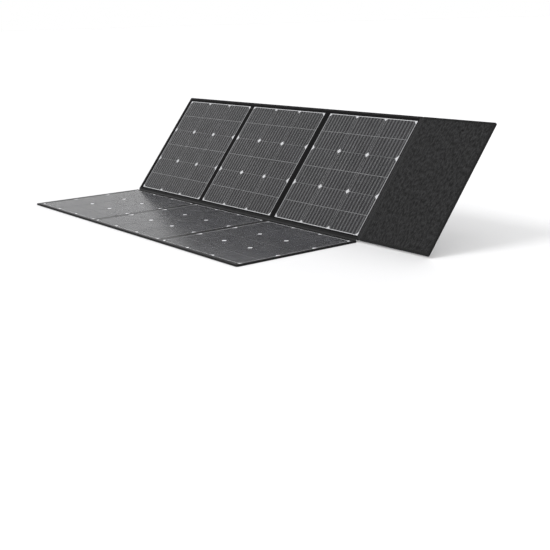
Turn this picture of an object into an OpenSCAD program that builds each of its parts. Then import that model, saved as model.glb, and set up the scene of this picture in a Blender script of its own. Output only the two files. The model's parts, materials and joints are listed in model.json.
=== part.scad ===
// Folding solar panel: two rows of three modules, a cover flap and three folding legs.
// The upper row leans back on its legs and the lower row lies flat in front of it.

/* [Solar modules] */
// Side of a full square cell
cell_w = 182; // [180:1:182]
// Gap between cells across the row
cell_gap = 2; // [1:0.5:3]
// Distance from one full cell to the next up the slope
cell_pitch = 184; // [183:0.5:185]
// Gap along the line where each cell is cut in half
cut_gap = 2; // [1:0.5:3]
// Corner cut of the cells
cell_chamfer = 10.5; // [6:0.5:14]
// Contact ribbons on each cell
ribbons_per_cell = 9; // [5:1:12]
// Width of a contact ribbon
ribbon_w = 1; // [0.6:0.1:1.4]
// Shift of the first module in each row towards its neighbour
module_shift = 7; // [0:1:8]

/* [Rows] */
// Width and height of one bay, from fold line to fold line
bay = 600; // [590:1:620]
// Clearance from a fold line to the edge of the board beside it
fold_clear = 5; // [3:0.5:7]
// Height of the row fold line in front of the faces
fold_lift = 0.75; // [0.5:0.25:1]
// Thickness of the back cover fabric
cover_t = 1; // [0.8:0.1:1.2]
// Thickness of a stiffener board
board_t = 3; // [2.5:0.1:3.5]
// Thickness of a module's backing laminate
laminate_t = 2; // [1.5:0.1:2.2]
// Thickness of the bezel lip over the laminate
lip_t = 1; // [1:0.1:1.2]
// Radius of the outer corners
corner_r = 6; // [4:0.5:8]

/* [Pose] */
// Lean of the upper row above the horizontal
lean = 52; // [48:1:56]
// Opening of a leg from the back of the row
leg_open = 58; // [52:1:62]

/* [Cover flap] */
// Width of the flap
flap_w = 385; // [300:5:390]
// Height of the flap's fold line in front of its face, as a book's spine
spine = 5; // [5:0.5:6]
// Width of the coloured band along the free edge
trim_w = 50; // [30:1:60]

/* [Legs] */
// Width of a leg
leg_w = 116; // [90:1:140]
// Thickness of a leg
leg_t = 8; // [6:0.5:9]
// Distance of a leg's fold line up the slope
leg_s = 548; // [530:1:560]
// Places of the legs along the row
leg_x = [300, 900, 1620]; // [150:1:1650]
// Width of a stay
stay_w = 20; // [12:1:30]
// Place of a stay's lower end up the slope
stay_s = 95; // [80:1:120]
// Distance from a leg's fold line to its stay
stay_drop = 385; // [350:1:400]

/* [Pocket] */
// Left edge of the pocket along the row
pocket_x = 1325; // [1260:1:1340]
// Width of the pocket
pocket_w = 180; // [150:1:200]
// Lower edge of the pocket up the slope
pocket_s = 135; // [120:1:150]
// Height of the pocket
pocket_h = 343; // [300:1:350]
// How far the pocket stands out
pocket_d = 25; // [22:0.5:30]
// Radius of the pocket's corners
pocket_r = 28; // [15:1:35]
// Radius of the hole in the output socket
socket_r = 4; // [3:0.1:4.5]

/* [Handle] */
// Left end of the handle along the row
handle_x = 1814; // [1812:1:1830]
// Length of the handle
handle_l = 112; // [100:1:125]
// Width of the handle
handle_w = 38; // [30:1:42]
// Rise of the handle off the flap
handle_rise = 18; // [16:1:24]

/* [Hidden] */
$fn = 48;

across = 3;
saw_loss = 1.2;
cell_area_w = across * cell_w + (across - 1) * cell_gap;
row_gap = cell_pitch - cell_w + saw_loss - cut_gap;
half_h = (cell_pitch - row_gap - cut_gap) / 2;
cell_area_h = across * cell_pitch - row_gap;
cell_t = 0.4;
ribbon_t = 0.2;
film_t = lip_t - cell_t - ribbon_t;

bezel_t = laminate_t + lip_t;
thick = cover_t + board_t + bezel_t;
row_w = 3 * bay - fold_clear;
row_h = bay - fold_clear;
cover_wall = 2.5;
board_clear = 8;
board_side = bay - 2 * board_clear;
laminate_border = 10;
laminate_side = cell_area_w + 2 * laminate_border;
laminate_fit = 0.3;
window_border = 2.1;
window_side = cell_area_h + 2 * window_border;
film_fit = 0.2;
strip_t = 1;
channel_w = 10;
channel_depth = 1.5;
channel_strip_t = 0.8;
tape_w = 4;
tape_t = 0.6;
tape_fit = 0.75;
tape_inset = 40;

flap_x = 3 * bay + fold_clear;
total_w = flap_x + flap_w;
lining_t = 2;
flap_board_fit = 0.5;
trim_t = 0.8;

leg_gap = 3;
leg_top = 2;
leg_out = leg_gap + leg_t;
leg_lap = 35;
leg_turn = lean + leg_open;
leg_axis_y = leg_s * cos(lean) + (thick + fold_lift) * sin(lean);
leg_axis_z = thick + fold_lift + leg_s * sin(lean) - (thick + fold_lift) * cos(lean);
sleeve_t = 1;
core_fit = 0.2;
strip_fit = 0.1;
strip_root = 14;
strip_sewn = 8;
stay_t = 1.5;
stay_sewn = 35;
patch_t = 1;
patch_h = 30;
patch_border = 4;

wall = 2.5;
zip_h = 3;
lid_gap = 0.2;
lid_h = 4.8;
lid_t = 2;
zip_inset = 0.6;
body_h = pocket_d - zip_h - lid_gap - lid_h;
slider_w = 3.5;
slider_l = 12;
tab_w = 1.6;
tab_l = 26;
controller = [110, 80, 14];
controller_r = 6;
controller_top = 50;
socket_wall = 2;
socket_depth = 14;
socket_flange = 3;
socket_flange_r = socket_r + 4;
socket_n = 9;
socket_fit = 0.1;

grip_t = 5;
grip_end = 0.6;
tail_t = 2;
tail_end = 0.98;
tail_inset = 3;
cap_w = 6;
cap_over = 1;
cap_fit = 0.2;

// Furthest reach of the feet to the rear, and the centre of the base
foot_y = leg_axis_y - leg_length(leg_out) * cos(leg_turn) + leg_out * sin(leg_turn);
origin_x = total_w / 2;
origin_y = (foot_y - bay) / 2;

// Length of a leg down to the floor at a distance b behind its fold line
function leg_length(b) = (leg_axis_z - b * cos(leg_turn)) / sin(leg_turn);

// A point a down the opened leg and b behind its fold line, in the row's (slope, normal) plane
function on_leg(a, b) = [-a * cos(leg_open) + b * sin(leg_open), -a * sin(leg_open) - b * cos(leg_open)];

function unit(v) = v / norm(v);
function left(v) = [-v[1], v[0]];

// Mitre direction of a path at its point i
function mitre(path, i) =
    let (last = len(path) - 1)
    let (into = unit(path[max(i, 1)] - path[max(i, 1) - 1]))
    let (away = unit(path[min(i + 1, last)] - path[min(i, last - 1)]))
    let (m = unit(left(into) + left(away)))
    m / (m * left(away));

// Outline of a band that keeps from lo to hi to the left of a path
function band(path, lo, hi) = concat(
    [for (i = [0:len(path) - 1]) path[i] + mitre(path, i) * lo],
    [for (i = [len(path) - 1:-1:0]) path[i] + mitre(path, i) * hi]
);

// Height of the handle's arch, with u from -1 to 1 along it
function arch(u) = handle_rise * (1 - u * u);

// Frame of the leaning upper row: X along it, Y up its slope, Z out of its face
module upright() {
    translate([-origin_x, -origin_y, thick + fold_lift])
        rotate([lean, 0, 0])
            translate([0, 0, -fold_lift])
                children();
}

// Frame of the lower row, which lies flat with its face up
module lying() {
    translate([-origin_x, -origin_y, thick])
        mirror([0, 1, 0])
            children();
}

// Frame of a leg's fold line on the back of the upper row
module at_leg(i) {
    upright()
        translate([leg_x[i], leg_s, -thick])
            children();
}

// A rectangle with round corners
module rounded(w, h, r) {
    translate([r, 0])
        square([w - 2 * r, h]);
    translate([0, r])
        square([w, h - 2 * r]);
    for (x = [r, w - r], y = [r, h - r])
        translate([x, y])
            circle(r);
}

// Place of module i in its bay
module at_module(i) {
    translate([i == 0 ? module_shift : 0, 0, 0])
        children();
}

module plate(w, h, r, t) {
    linear_extrude(t)
        rounded(w, h, r);
}

// A shallow tray with its floor at the back
module tray(w, h, r, depth, floor_t, side_t) {
    difference() {
        plate(w, h, r, depth);
        translate([side_t, side_t, floor_t])
            plate(w - 2 * side_t, h - 2 * side_t, r - side_t, depth);
    }
}

// A square slab centred on bay i, from low up by t
module slab(i, side, low, t) {
    translate([i * bay + (bay - side) / 2, (bay - side) / 2, low])
        cube([side, side, t]);
}

// An outline in the (Y, Z) plane carried along X
module carried(points, w) {
    rotate([90, 0, 90])
        linear_extrude(w, center = true)
            polygon(points);
}

// Rows

module back_cover() {
    translate([0, fold_clear, -thick])
        tray(row_w, row_h, corner_r, cover_t + board_t, cover_t, cover_wall);
}

module bezel() {
    difference() {
        translate([0, fold_clear, -bezel_t])
            plate(row_w, row_h, corner_r, bezel_t);
        for (i = [0:2]) {
            at_module(i)
                slab(i, laminate_side + 2 * laminate_fit, -bezel_t - 1, laminate_t + 1);
            at_module(i)
                slab(i, window_side, -bezel_t, bezel_t + 1);
        }
        for (i = [1:2])
            translate([i * bay - channel_w / 2, 0, -channel_depth])
                cube([channel_w, bay + 1, channel_depth + 1]);
    }
}

module board(i) {
    slab(i, board_side, -bezel_t - board_t, board_t);
}

module laminate(i) {
    at_module(i)
        slab(i, laminate_side, -bezel_t, laminate_t);
}

// Half a cell, with its two cut corners at the bottom
module half_cell() {
    linear_extrude(cell_t)
        polygon([
            [cell_chamfer, 0], [cell_w - cell_chamfer, 0], [cell_w, cell_chamfer],
            [cell_w, half_h], [0, half_h], [0, cell_chamfer]
        ]);
}

// Lower left corner of the cells of bay i
module at_cells(i, n) {
    at_module(i)
        translate([i * bay + (bay - cell_area_w) / 2, (bay - cell_area_h) / 2, n])
            children();
}

module cells(i) {
    at_cells(i, -lip_t)
        for (x = [0:across - 1], y = [0:across - 1])
            translate([x * (cell_w + cell_gap), y * cell_pitch, 0]) {
                half_cell();
                translate([0, 2 * half_h + cut_gap, 0])
                    mirror([0, 1, 0])
                        half_cell();
            }
}

module ribbons() {
    for (i = [0:2])
        at_cells(i, cell_t - lip_t)
            for (x = [0:across - 1], k = [0:ribbons_per_cell - 1])
                translate([x * (cell_w + cell_gap) + (k + 0.5) * cell_w / ribbons_per_cell, 0, 0])
                    translate([-ribbon_w / 2, 0, 0])
                        cube([ribbon_w, cell_area_h, ribbon_t]);
}

module films() {
    for (i = [0:2])
        at_module(i)
            slab(i, window_side - 2 * film_fit, -film_t, film_t);
}

module column_strips() {
    for (i = [1:2])
        translate([i * bay - channel_w / 2, fold_clear, -channel_depth])
            cube([channel_w, row_h, channel_strip_t]);
}

// Upper row

module upper_back_cover() {
    color("#2b2b2e") upright() back_cover();
}

module upper_bezel() {
    color("#1b1b1d") upright() bezel();
}

module upper_board(i) {
    color("#8d8f86") upright() board(i);
}

module upper_laminate(i) {
    color("#c9cbcc") upright() laminate(i);
}

module upper_cells(i) {
    color("#3a3a3d") upright() cells(i);
}

module upper_ribbons() {
    color("#a0a0a4") upright() ribbons();
}

module upper_films() {
    color("#dfe6ea", 0.25) upright() films();
}

module upper_column_strips() {
    color("#17171a") upright() column_strips();
}

// Flat cable in the channel above the boards, with a branch between two boards
module bus_wiring() {
    tape_s = (bay + board_side) / 2 + tape_fit;
    color("#b87333")
        upright()
            translate([0, 0, -bezel_t - board_t / 2 - tape_t]) {
                translate([tape_inset, tape_s, 0])
                    cube([row_w - 2 * tape_inset, tape_w, tape_t]);
                for (i = [1:2])
                    translate([i * bay - tape_w / 2, bay / 2, 0])
                        cube([tape_w, tape_s - bay / 2 + 1, tape_t]);
            }
}

// Sewn patches that hold the stays' lower ends
module stay_patches() {
    color("#202022")
        for (i = [0:2])
            at_leg(i)
                translate([-stay_w / 2 - patch_border, stay_s - leg_s - stay_sewn - 1, -stay_t - patch_t])
                    cube([stay_w + 2 * patch_border, patch_h, patch_t]);
}

// Lower row

module lower_back_cover() {
    color("#2b2b2e") lying() back_cover();
}

module lower_bezel() {
    color("#1b1b1d") lying() bezel();
}

module lower_board(i) {
    color("#8d8f86") lying() board(i);
}

module lower_laminate(i) {
    color("#c9cbcc") lying() laminate(i);
}

module lower_cells(i) {
    color("#3a3a3d") lying() cells(i);
}

module lower_ribbons() {
    color("#a0a0a4") lying() ribbons();
}

module lower_films() {
    color("#dfe6ea", 0.25) lying() films();
}

module lower_column_strips() {
    color("#17171a") lying() column_strips();
}

// Fabric that joins the two rows along their fold line
module row_hinge_strip() {
    path = [
        [-fold_clear, thick],
        [fold_lift * tan(lean / 2), thick],
        [fold_clear * cos(lean) + fold_lift * sin(lean),
         thick + fold_lift + fold_clear * sin(lean) - fold_lift * cos(lean)]
    ];
    color("#17171a")
        translate([row_w / 2 - origin_x, -origin_y, 0])
            carried(band(path, -strip_t, 0), row_w - 2 * corner_r);
}

// Cover flap

module at_flap(n) {
    upright()
        translate([flap_x, fold_clear, n])
            children();
}

module flap_cover() {
    color("#2b2b2e")
        at_flap(-thick)
            tray(flap_w, row_h, corner_r, thick - lining_t, cover_t, cover_wall);
}

module flap_board() {
    inset = cover_wall + flap_board_fit;
    color("#8d8f86")
        at_flap(-thick + cover_t)
            translate([inset, inset, 0])
                cube([flap_w - 2 * inset, row_h - 2 * inset, thick - lining_t - cover_t]);
}

module flap_lining() {
    color("#232326")
        at_flap(-lining_t)
            plate(flap_w, row_h, corner_r, lining_t);
}

module flap_trim() {
    color("#d76c1b")
        at_flap(-thick - trim_t)
            translate([flap_w - trim_w, 0, 0])
                plate(trim_w, row_h, corner_r, trim_t);
}

module flap_hinge_strip() {
    color("#17171a")
        upright()
            translate([3 * bay - fold_clear, fold_clear + corner_r, -thick + 0.5])
                cube([2 * fold_clear, row_h - 2 * corner_r, thick - 1]);
}

// Legs

// Side outline of a leg folded flat, its walls inset by t and its top raised by up
function leg_side(t, up) = [
    [up - leg_top, -leg_gap - t],
    [up - leg_top, -leg_out + t],
    [2 * t - leg_length(leg_out), -leg_out + t],
    [2 * t - leg_length(leg_gap), -leg_gap - t]
];

module leg_sleeve(i) {
    color("#323236")
        at_leg(i)
            rotate([leg_open, 0, 0])
                difference() {
                    carried(leg_side(0, 0), leg_w);
                    carried(leg_side(sleeve_t, 1), leg_w - 2 * sleeve_t);
                }
}

module leg_core(i) {
    color("#8d8f86")
        at_leg(i)
            rotate([leg_open, 0, 0])
                carried(leg_side(sleeve_t + core_fit, -1), leg_w - 2 * sleeve_t - 1);
}

// Fabric that joins a leg to the row's back
module leg_hinge_strip(i) {
    face = leg_out + strip_fit;
    path = [[leg_lap + strip_sewn, 0], [strip_root, 0], on_leg(leg_top, face), on_leg(leg_lap, face)];
    color("#2b2b2e")
        at_leg(i)
            carried(band(path, 0, strip_t), leg_w);
}

// Webbing that stops a leg at its working angle
module stay(i) {
    face = leg_gap - stay_t - strip_fit;
    low = stay_s - leg_s;
    path = [[low - stay_sewn, 0], [low, 0], on_leg(stay_drop, face), on_leg(stay_drop - stay_sewn, face)];
    color("#111113")
        at_leg(i)
            carried(band(path, -stay_t, 0), stay_w);
}

// Pocket

// Frame of the pocket's lower left corner, with Z out of the row's back
module at_pocket(n) {
    upright()
        translate([pocket_x, pocket_s, -thick])
            mirror([0, 0, 1])
                translate([0, 0, n])
                    children();
}

module pocket_body() {
    color("#343438")
        difference() {
            at_pocket(0)
                tray(pocket_w, pocket_h, pocket_r, body_h, cover_t, wall);
            at_pocket(socket_n)
                translate([pocket_w / 2, -1, 0])
                    rotate([-90, 0, 0])
                        cylinder(h = wall + 2, r = socket_r + socket_wall + socket_fit);
        }
}

module pocket_zip() {
    color("#6a6a6e")
        at_pocket(body_h)
            translate([zip_inset, zip_inset, 0])
                difference() {
                    plate(pocket_w - 2 * zip_inset, pocket_h - 2 * zip_inset, pocket_r - zip_inset, zip_h);
                    translate([wall, wall, -1])
                        plate(
                            pocket_w - 2 * (zip_inset + wall), pocket_h - 2 * (zip_inset + wall),
                            pocket_r - zip_inset - wall, zip_h + 2
                        );
                }
}

module pocket_lid() {
    color("#39393d")
        at_pocket(pocket_d)
            mirror([0, 0, 1])
                tray(pocket_w, pocket_h, pocket_r, lid_h, lid_t, wall);
}

// Slider and pull tab of the zip, beside the pocket's straight right side
module zip_slider() {
    color("#8a8a8e")
        at_pocket(body_h - 2)
            translate([pocket_w + zip_inset, pocket_r + slider_l / 2, 0]) {
                cube([slider_w, slider_l, zip_h + 4]);
                translate([(slider_w - tab_w) / 2, slider_l - 2, 2])
                    cube([tab_w, tab_l, zip_h]);
            }
}

module charge_controller() {
    color("#1c1c1f")
        at_pocket(cover_t)
            translate([(pocket_w - controller.x) / 2, pocket_h - controller_top - controller.y, 0])
                plate(controller.x, controller.y, controller_r, controller.z);
}

module output_socket() {
    color("#111113")
        at_pocket(socket_n)
            translate([pocket_w / 2, -socket_flange, 0])
                rotate([-90, 0, 0])
                    difference() {
                        union() {
                            cylinder(h = socket_flange, r = socket_flange_r);
                            cylinder(h = socket_flange + socket_depth + 2, r = socket_r + socket_wall);
                        }
                        translate([0, 0, -1])
                            cylinder(h = socket_depth + 1, r = socket_r);
                    }
}

// Handle

// Frame of the handle's middle, with Z out of the flap's back
module at_handle() {
    upright()
        translate([handle_x + handle_l / 2, bay / 2, -thick])
            mirror([0, 0, 1])
                children();
}

// A stretch of the handle's arch between two places along it
module arch_piece(from, to, t, w) {
    half = handle_l / 2 - cap_w - cap_fit;
    steps = 8;
    path = [for (i = [0:steps]) let (u = from + (to - from) * i / steps) [u * half, arch(u)]];
    rotate([90, 0, 0])
        linear_extrude(w, center = true)
            polygon(band(path, 0, t));
}

module handle_grip() {
    color("#18181a") at_handle() arch_piece(-grip_end, grip_end, grip_t, handle_w);
}

module handle_tails() {
    color("#222225")
        at_handle() {
            arch_piece(-tail_end, -grip_end, tail_t, handle_w - 2 * tail_inset);
            arch_piece(grip_end, tail_end, tail_t, handle_w - 2 * tail_inset);
        }
}

module handle_caps() {
    color("#c4c6c8")
        at_handle()
            for (side = [-1, 1])
                translate([side * (handle_l - cap_w) / 2, 0, cap_w / 2]) {
                    rotate([90, 0, 0])
                        cylinder(h = handle_w + 2 * cap_over, r = cap_w / 2, center = true);
                    translate([-cap_w / 2, -handle_w / 2 - cap_over, -cap_w / 2])
                        cube([cap_w, handle_w + 2 * cap_over, cap_w / 2]);
                }
}

upper_back_cover();
upper_bezel();
for (i = [0:2]) {
    upper_board(i);
    upper_laminate(i);
    upper_cells(i);
    lower_board(i);
    lower_laminate(i);
    lower_cells(i);
    leg_sleeve(i);
    leg_core(i);
    leg_hinge_strip(i);
    stay(i);
}
upper_ribbons();
upper_films();
upper_column_strips();
bus_wiring();
stay_patches();
lower_back_cover();
lower_bezel();
lower_ribbons();
lower_films();
lower_column_strips();
row_hinge_strip();
flap_cover();
flap_board();
flap_lining();
flap_trim();
flap_hinge_strip();
pocket_body();
pocket_zip();
pocket_lid();
zip_slider();
charge_controller();
output_socket();
handle_grip();
handle_tails();
handle_caps();
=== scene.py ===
import json
import math
from collections import Counter

import bmesh
import bpy
from mathutils import Matrix, Vector, noise


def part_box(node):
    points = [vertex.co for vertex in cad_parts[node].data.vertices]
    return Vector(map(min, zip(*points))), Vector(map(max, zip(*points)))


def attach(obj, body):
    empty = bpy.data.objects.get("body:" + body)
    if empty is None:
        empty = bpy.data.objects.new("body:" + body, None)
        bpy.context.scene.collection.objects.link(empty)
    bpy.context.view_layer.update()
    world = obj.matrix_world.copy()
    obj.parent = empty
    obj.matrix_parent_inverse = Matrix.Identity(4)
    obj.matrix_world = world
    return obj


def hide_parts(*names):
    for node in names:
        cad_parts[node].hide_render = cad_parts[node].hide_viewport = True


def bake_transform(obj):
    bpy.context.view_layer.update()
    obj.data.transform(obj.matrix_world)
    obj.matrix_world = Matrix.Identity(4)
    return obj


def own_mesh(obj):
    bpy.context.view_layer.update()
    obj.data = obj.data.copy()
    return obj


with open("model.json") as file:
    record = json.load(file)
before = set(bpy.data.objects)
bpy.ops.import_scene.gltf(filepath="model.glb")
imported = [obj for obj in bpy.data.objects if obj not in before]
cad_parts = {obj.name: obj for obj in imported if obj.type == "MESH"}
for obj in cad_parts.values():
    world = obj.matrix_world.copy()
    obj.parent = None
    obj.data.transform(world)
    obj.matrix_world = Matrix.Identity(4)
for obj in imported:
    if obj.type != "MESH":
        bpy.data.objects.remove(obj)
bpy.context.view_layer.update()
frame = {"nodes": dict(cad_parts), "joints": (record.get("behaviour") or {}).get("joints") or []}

MM = 0.001

# ---------------------------------------------------------------- frames on the object

JOINTS = {j["name"]: j for j in frame["joints"]}
UP = -Vector(JOINTS["flap_fold"]["axis"])
OUT = Vector((1, 0, 0)).cross(UP)
FOLD = Vector(JOINTS["row_fold"]["pos_m"])
LEG_OPEN = math.radians(JOINTS["leg_1_fold"]["range_deg"][1])

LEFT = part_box("upper_back_cover")[0].x
FACE_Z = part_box("lower_films")[1].z
BAY = FOLD.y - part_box("lower_back_cover")[0].y
CLEAR = FOLD.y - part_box("lower_back_cover")[1].y
THICK = FACE_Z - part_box("lower_back_cover")[0].z
LIFT = FOLD.z - FACE_Z
ROW_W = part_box("upper_back_cover")[1].x - LEFT
FLAP_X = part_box("flap_cover")[0].x - LEFT
TOTAL_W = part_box("flap_cover")[1].x - LEFT
CELL_PITCH = 184 * MM
CELL_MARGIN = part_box("upper_cells_2")[0].x - LEFT - BAY
MODULE_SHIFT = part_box("upper_cells_1")[0].x - LEFT - CELL_MARGIN
RIBBON_PITCH = 182 * MM / 9
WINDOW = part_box("lower_films")[1].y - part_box("lower_films")[0].y
CORNER = 6 * MM
FLOOR_GAP = 0.2 * MM


class Plane:
    """A flat frame on the object: x along world X, s across and n out of it, all in metres."""

    def __init__(self, origin, s_axis, n_axis, stands=False):
        self.origin = Vector(origin)
        self.s_axis = Vector(s_axis)
        self.n_axis = Vector(n_axis)
        self.stands = stands

    def at(self, x, s, n):
        p = self.origin + Vector((x, 0, 0)) + self.s_axis * s + self.n_axis * n
        if self.stands and p.z < FLOOR_GAP:
            p -= self.s_axis * ((p.z - FLOOR_GAP) / self.s_axis.z)
        return p


ROW = Plane(Vector((LEFT, FOLD.y, FOLD.z)) - OUT * LIFT, UP, OUT)
LOW = Plane((LEFT, FOLD.y, FACE_Z), (0, -1, 0), (0, 0, 1))
REAR = Plane(ROW.at(0, 0, -THICK), UP, -OUT)


def leg_plane(i):
    """A leg's frame: x from its middle, s down it from its fold line and n to its outer side."""
    along = -UP * math.cos(LEG_OPEN) - OUT * math.sin(LEG_OPEN)
    away = UP * math.sin(LEG_OPEN) - OUT * math.cos(LEG_OPEN)
    return Plane(JOINTS[f"leg_{i}_fold"]["pos_m"], along, away, True)


# ---------------------------------------------------------------- mesh building

def finish_mesh(name, points, faces, smooth_angle=35):
    """A shaded mesh object from points and faces, with doubled points merged and normals outward."""
    mesh = bpy.data.meshes.new(name)
    mesh.from_pydata([tuple(p) for p in points], [], faces)
    bm = bmesh.new()
    bm.from_mesh(mesh)
    bmesh.ops.remove_doubles(bm, verts=bm.verts, dist=1e-6)
    bmesh.ops.recalc_face_normals(bm, faces=bm.faces)
    bm.to_mesh(mesh)
    bm.free()
    mesh.polygons.foreach_set("use_smooth", [True] * len(mesh.polygons))
    mesh.set_sharp_from_angle(angle=math.radians(smooth_angle))
    piece = bpy.data.objects.new(name, mesh)
    bpy.context.scene.collection.objects.link(piece)
    return piece


def grid_lines(lo, hi, near, step, stops=()):
    """Places from lo to hi, at most a step apart, with lines at the near distances from ends and stops."""
    places = {lo, hi}
    for d in near:
        places |= {lo + d, hi - d}
        for p in stops:
            places |= {p, p - d, p + d}
    places = sorted(p for p in places if lo <= p <= hi)
    lines = [lo]
    for p in places:
        gap = p - lines[-1]
        if gap < 0.05 * MM:
            continue
        count = max(1, math.ceil(gap / step))
        start = lines[-1]
        lines += [start + gap * (k + 1) / count for k in range(count)]
    return lines


def shell(name, us, vs, front, rear, skip=None):
    """A closed mesh between the point grids front(u, v) and rear(u, v), joined round their edges."""
    points = [front(u, v) for u in us for v in vs] + [rear(u, v) for u in us for v in vs]
    half, across = len(us) * len(vs), len(vs)
    faces, sides = [], Counter()
    for i in range(len(us) - 1):
        for j in range(across - 1):
            if skip and skip((us[i] + us[i + 1]) / 2, (vs[j] + vs[j + 1]) / 2):
                continue
            a, b = i * across + j, (i + 1) * across + j
            ring = (a, b, b + 1, a + 1)
            faces.append(ring)
            faces.append(tuple(k + half for k in reversed(ring)))
            for p, q in zip(ring, ring[1:] + ring[:1]):
                sides[(min(p, q), max(p, q))] += 1
    faces += [(p, q, q + half, p + half) for (p, q), n in sides.items() if n == 1]
    return finish_mesh(name, points, faces)


def rounded_in(x, s, xs, ss, r):
    """The point moved inside a rounded rectangle, and its distance from the outline."""
    cx = min(max(x, xs[0] + r), xs[1] - r)
    cs = min(max(s, ss[0] + r), ss[1] - r)
    dx, ds = x - cx, s - cs
    if dx and ds:
        reach = math.hypot(dx, ds)
        if reach > r:
            return cx + dx * r / reach, cs + ds * r / reach, 0.0
        return x, s, r - reach
    return x, s, min(x - xs[0], xs[1] - x, s - ss[0], ss[1] - s)


def edge_drop(d, e):
    """How far a rounded edge of radius e falls at distance d from the outline."""
    return e - math.sqrt(max(0.0, e * e - (e - min(d, e)) ** 2))


def no_relief(*_):
    return 0.0


def pad(name, plane, xs, ss, ns, edge, step, corner=CORNER, front=no_relief, rear=no_relief, holes=()):
    """A closed slab with soft edges. xs, ss, ns are (low, high); front and rear add relief to each face."""
    near = [0.3 * edge, edge, 2.5 * edge]
    rounding = near + [0.45 * corner, corner]
    us = grid_lines(*xs, rounding, step, [x for hole in holes for x in hole[0]])
    vs = grid_lines(*ss, rounding, step, [s for hole in holes for s in hole[1]])

    def depth(x, s):
        x, s, d = rounded_in(x, s, xs, ss, corner)
        for hx, hs in holes:
            gap_x = max(hx[0] - x, x - hx[1])
            gap_s = max(hs[0] - s, s - hs[1])
            outside = math.hypot(max(gap_x, 0), max(gap_s, 0))
            d = min(d, outside)
        return x, s, d

    def front_point(x, s):
        x, s, d = depth(x, s)
        return plane.at(x, s, ns[1] - edge_drop(d, edge) + front(x, s, d))

    def rear_point(x, s):
        x, s, d = depth(x, s)
        return plane.at(x, s, ns[0] + edge_drop(d, edge) * 0.5 - rear(x, s, d))

    def in_hole(x, s):
        return any(hx[0] < x < hx[1] and hs[0] < s < hs[1] for hx, hs in holes)

    return shell(name, us, vs, front_point, rear_point, in_hole if holes else None)


def corner_path(corners, r, closed=False, step=40 * MM, arc_steps=5):
    """Points and outward directions along a clockwise line through (x, s) corners rounded by radius r."""
    corners = [Vector(c) for c in corners]
    count = len(corners)
    path = []

    def add(p, out):
        if not path or (path[-1][0] - p).length > 1e-6:
            path.append((p, out))

    def straight(a, b):
        along = (b - a).normalized()
        out = Vector((-along.y, along.x))
        pieces = max(1, math.ceil((b - a).length / step))
        for k in range(pieces + 1):
            add(a.lerp(b, k / pieces), out)

    turns = range(count) if closed else range(1, count - 1)
    ends = {}
    for i in turns:
        before = (corners[i] - corners[i - 1]).normalized()
        after = (corners[(i + 1) % count] - corners[i]).normalized()
        ends[i] = (corners[i] - before * r, corners[i] + after * r, before, after)
    start = corners[0] if not closed else ends[0][1]
    order = list(range(1, count)) + ([0] if closed else [])
    for i in order:
        if i not in ends:
            straight(start, corners[i])
            continue
        into, away, before, after = ends[i]
        straight(start, into)
        centre = into + Vector((before.y, -before.x)) * r
        for k in range(1, arc_steps):
            turn = -math.pi / 2 * k / arc_steps
            spoke = Matrix.Rotation(turn, 2) @ (into - centre)
            add(centre + spoke, spoke.normalized())
        start = away
    if not closed:
        return path
    add(*path[0])
    return path[:-1] if (path[-1][0] - path[0][0]).length < 1e-6 else path


def rectangle(xs, ss):
    """The corners of a rectangle, clockwise from the lower left."""
    return [(xs[0], ss[0]), (xs[0], ss[1]), (xs[1], ss[1]), (xs[1], ss[0])]


def sweep(name, plane, path, section, closed=False):
    """A closed (out, n) section carried along a path of (point, outward direction) pairs."""
    points = []
    for p, out in path:
        points += [plane.at(p.x + out.x * o, p.y + out.y * o, n) for o, n in section]
    size, rings = len(section), len(path)
    faces = []
    for i in range(rings if closed else rings - 1):
        for j in range(size):
            a, b = i * size + j, i * size + (j + 1) % size
            c, d = ((i + 1) % rings) * size + (j + 1) % size, ((i + 1) % rings) * size + j
            faces.append((a, b, c, d))
    if not closed:
        faces.append(tuple(range(size)))
        faces.append(tuple(reversed(range((rings - 1) * size, rings * size))))
    return finish_mesh(name, points, faces)


def join(name, *parts):
    """One piece made of several meshes, which keep their own materials."""
    with bpy.context.temp_override(
        active_object=parts[0], selected_editable_objects=list(parts), object=parts[0]
    ):
        bpy.ops.object.join()
    parts[0].name = name
    parts[0].data.name = name
    return parts[0]


def ring_section(o, n, r, sides=8):
    """A round section of radius r about (o, n)."""
    return [
        (o + r * math.cos(2 * math.pi * k / sides), n + r * math.sin(2 * math.pi * k / sides))
        for k in range(sides)
    ]


def resample(path, step):
    """A (s, n) line's points, evenly spaced about a step apart."""
    path = [Vector(p) for p in path]
    total = sum((b - a).length for a, b in zip(path, path[1:]))
    count = max(2, round(total / step))
    points, walked, i = [path[0]], 0.0, 0
    for k in range(1, count):
        target = total * k / count
        while walked + (path[i + 1] - path[i]).length < target:
            walked += (path[i + 1] - path[i]).length
            i += 1
        a, b = path[i], path[i + 1]
        points.append(a.lerp(b, (target - walked) / (b - a).length))
    return points + [path[-1]]


def smooth_line(points, radius, steps=6):
    """A (s, n) line through the points, its corners rounded by curves that start radius before them."""
    points = [Vector(p) for p in points]
    line = [points[0]]
    for a, b, c in zip(points, points[1:], points[2:]):
        into = b + (a - b).normalized() * min(radius, (a - b).length * 0.5)
        away = b + (c - b).normalized() * min(radius, (c - b).length * 0.5)
        for k in range(steps + 1):
            t = k / steps
            line.append(into * (1 - t) ** 2 + b * 2 * t * (1 - t) + away * t * t)
    return line + [points[-1]]


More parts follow.
